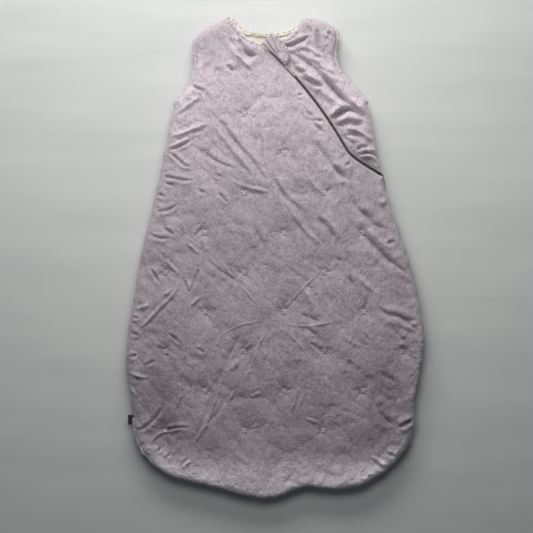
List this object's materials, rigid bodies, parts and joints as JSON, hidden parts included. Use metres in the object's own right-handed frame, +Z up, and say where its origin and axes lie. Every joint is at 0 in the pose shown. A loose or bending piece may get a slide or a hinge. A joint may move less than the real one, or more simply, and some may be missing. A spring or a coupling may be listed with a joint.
{
  "type": "baby sleeping bag",
  "caption": "Sleeveless quilted velour baby sleeping bag lying flat on its back, with a covered chest zip, a front that folds open along the left side, and small stitched crosses.",
  "frame": {"origin": "on the floor under the middle of the bag's plan box", "axes": "+Z up, front of the bag facing +Z; +Y towards the head end; the zip is on the +X side"},
  "size_m": [0.56, 0.9001, 0.0449],
  "materials": {
    "velour": "dusty pink short-pile velour",
    "lining": "cream cotton jersey",
    "wadding": "white polyester wadding",
    "zip_tape": "woven tape",
    "zip_coil": "nylon coil",
    "slider": "dark lacquered",
    "thread": "embroidery thread",
    "label": "folded woven tape"
  },
  "bodies": {
    "root": {"back_outer": "velour", "back_wadding": "wadding", "back_lining": "lining", "left_front_outer": "velour", "left_front_wadding": "wadding", "left_front_lining": "lining", "right_front_outer": "velour", "right_front_wadding": "wadding", "right_front_lining": "lining", "left_armhole_binding": "velour", "right_armhole_binding": "velour", "left_neck_binding": "velour", "right_neck_band": "velour", "back_neck_facing": "lining", "right_zip_coil": "zip_coil", "right_zip_tape": "zip_tape", "right_top_stop": "slider", "bottom_stop": "slider", "wind_flap": "lining", "side_label": "label", "tuft_cross_02": "thread", "tuft_cross_09": "thread", "tuft_cross_15": "thread"},
    "flap": {"flap_outer": "velour", "flap_wadding": "wadding", "flap_lining": "lining", "flap_neck_binding": "velour", "flap_zip_coil": "zip_coil", "flap_zip_tape": "zip_tape", "flap_top_stop": "slider", "tuft_cross_01": "thread", "tuft_cross_03": "thread", "tuft_cross_04": "thread", "tuft_cross_05": "thread", "tuft_cross_06": "thread", "tuft_cross_07": "thread", "tuft_cross_08": "thread", "tuft_cross_10": "thread", "tuft_cross_11": "thread", "tuft_cross_12": "thread", "tuft_cross_13": "thread", "tuft_cross_14": "thread", "tuft_cross_16": "thread", "tuft_cross_17": "thread", "tuft_cross_18": "thread", "tuft_cross_19": "thread", "tuft_cross_20": "thread", "tuft_cross_21": "thread", "tuft_cross_22": "thread", "tuft_cross_23": "thread", "tuft_cross_24": "thread"},
    "slider": {"zip_slider": "slider"},
    "pull": {"zip_pull": "slider"},
    "guard": {"zip_guard": "velour"}
  },
  "joints": [
    {"name": "flap_fold", "type": "hinge", "parent": "root", "child": "flap", "pos_m": [-0.062, 0.414, 0.0421], "axis": [-0.2178, -0.976, 0], "range_deg": [0, 165]},
    {"name": "slider_travel", "type": "hinge", "parent": "root", "child": "slider", "pos_m": [-0.54664, -0.18021, 0.036], "axis": [0, 0, -1], "range_deg": [0, 12.4]},
    {"name": "pull_flip", "type": "hinge", "parent": "slider", "child": "pull", "pos_m": [0.02362, 0.3528, 0.0399], "axis": [-0.7278, -0.6858, 0], "range_deg": [0, 115]},
    {"name": "guard_fold", "type": "hinge", "parent": "root", "child": "guard", "pos_m": [0.01766, 0.3739, 0.0449], "axis": [-0.6227, 0.7824, 0], "range_deg": [0, 150]}
  ]
}
